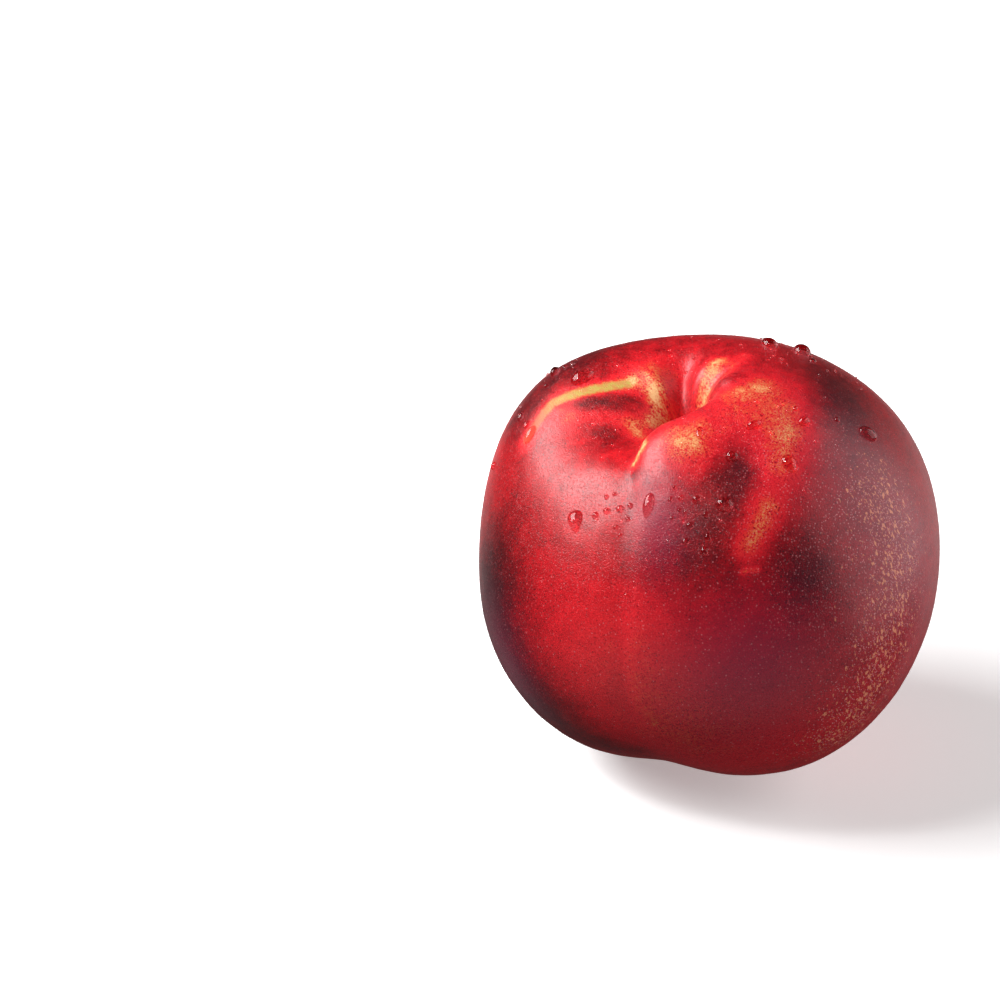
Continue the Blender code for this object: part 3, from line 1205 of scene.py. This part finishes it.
def make_floor():
    signs = ((-1, -1), (1, -1), (1, 1), (-1, 1))
    corners = [(x * FLOOR_HALF, y * FLOOR_HALF, -FLOOR_DROP) for x, y in signs]
    mesh = bpy.data.meshes.new("floor")
    mesh.from_pydata(corners, [], [(0, 1, 2, 3)])
    mesh.materials.append(floor_material())
    floor = bpy.data.objects.new("floor", mesh)
    bpy.context.scene.collection.objects.link(floor)
    floor.visible_glossy = False
    floor.visible_diffuse = False
    floor.visible_shadow = False
    return floor


floor = make_floor()
floor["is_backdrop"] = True
print("floor", 2 * FLOOR_HALF, "m wide")

# %% World
FILL_LIGHT = 0.05
BACKDROP_BRIGHTNESS = 0.9

# Name, strength, and the fades that place it: an axis, where it is dark and where it is full.
WORLD_GLOWS = (
    ("table in front", 0.63, (("Z", 0.2, -0.5), ("Z", -1.0, -0.7), ("Y", 0.4, -0.9))),
    ("back edge of the table", 0.6, (("Y", 0.55, 0.95), ("Z", -0.20, -0.36), ("Z", -0.60, -0.46))),
    ("right edge", 0.45, (("X", 0.35, 0.65), ("Y", 0.3, 0.6), ("Z", 0.2, -0.1))),
    ("back left corner", 0.28, (("X", -0.15, -0.40), ("Y", 0.35, 0.65), ("Z", -0.40, -0.60))),
)


def make_world():
    world = bpy.data.worlds.new("studio")
    world.use_nodes = True
    tree = world.node_tree
    tree.nodes.clear()
    sky = Wire.node(tree, "ShaderNodeTexCoord", None, None, "Generated")
    strength = FILL_LIGHT
    for _name, brightness, fades in WORLD_GLOWS:
        glow = brightness
        for letter, dark, full in fades:
            glow = glow * ease(dark, full, sky.axis(letter))
        strength = strength + glow
    seen = Wire.node(tree, "ShaderNodeLightPath", None, None, "Is Camera Ray")
    strength = strength * (1.0 - seen) + BACKDROP_BRIGHTNESS * seen
    backdrop = Wire.node(tree, "ShaderNodeBackground", None,
                         {"Color": (1.0, 1.0, 1.0, 1.0), "Strength": strength}, "Background")
    tree.links.new(backdrop.socket, tree.nodes.new("ShaderNodeOutputWorld").inputs["Surface"])
    return world


bpy.context.scene.world = make_world()
print(len(WORLD_GLOWS), "glows in the world")

# %% Lights
FRUIT_MIDDLE = (fruit_low + fruit_high) / 2


def softbox(name, azimuth, elevation, distance, width, height, power):
    """A soft light, at an azimuth from the camera side and an elevation in degrees."""
    a, e = math.radians(azimuth), math.radians(elevation)
    data = bpy.data.lights.new(name, "AREA")
    data.shape = "RECTANGLE"
    data.size = width
    data.size_y = height
    data.energy = power
    light = bpy.data.objects.new(name, data)
    aim = Vector((math.sin(a) * math.cos(e), -math.cos(a) * math.cos(e), math.sin(e)))
    light.location = FRUIT_MIDDLE + aim * distance
    light.rotation_euler = aim.to_track_quat("Z", "Y").to_euler()
    bpy.context.scene.collection.objects.link(light)


softbox("left_softbox", -97.0, 42.0, 0.60, 0.50, 0.38, 8.2)
softbox("right_softbox", 94.0, 16.0, 0.75, 1.08, 1.00, 6.4)
softbox("spark", -60.0, 50.0, 0.60, 0.08, 0.08, 0.85)
print("two softboxes and a spark")

# %% [markdown]
# ## Camera
# A long lens from a little over half a metre keeps the fruit's edge true, and looks down far
# enough to see into the stem cavity.

# %% Camera
ELEVATION = 30.0
LENS = 150.0
DISTANCE = 0.6382
AIM_LEFT = 31.87 * MM
AIM_UP = 7.92 * MM
BODY_MIDDLE = Vector((-0.15 * MM, -0.59 * MM, 34.79 * MM))

tilt = math.radians(ELEVATION)
towards_camera = Vector((0.0, -math.cos(tilt), math.sin(tilt)))
upwards = Vector((0.0, math.sin(tilt), math.cos(tilt)))
camera_data = bpy.data.cameras.new("camera")
camera_data.lens = LENS
camera_data.sensor_width = 36.0
camera_data.clip_start = 0.01
camera_data.clip_end = 20.0
camera = bpy.data.objects.new("camera", camera_data)
camera.location = BODY_MIDDLE + Vector((-AIM_LEFT, 0, 0)) + upwards * AIM_UP + towards_camera * DISTANCE
camera.rotation_euler = (math.pi / 2 - tilt, 0.0, 0.0)
bpy.context.scene.collection.objects.link(camera)
bpy.context.scene.camera = camera
bpy.context.scene.view_settings.view_transform = "Standard"
print("camera", round(DISTANCE, 3), "m away,", ELEVATION, "degrees up")

# %% Sizes and finish
visual_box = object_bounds()
for name, box in (("solid", cad_box), ("visual", visual_box)):
    print(name, "box in mm:", [[round(value / MM, 2) for value in corner] for corner in box])
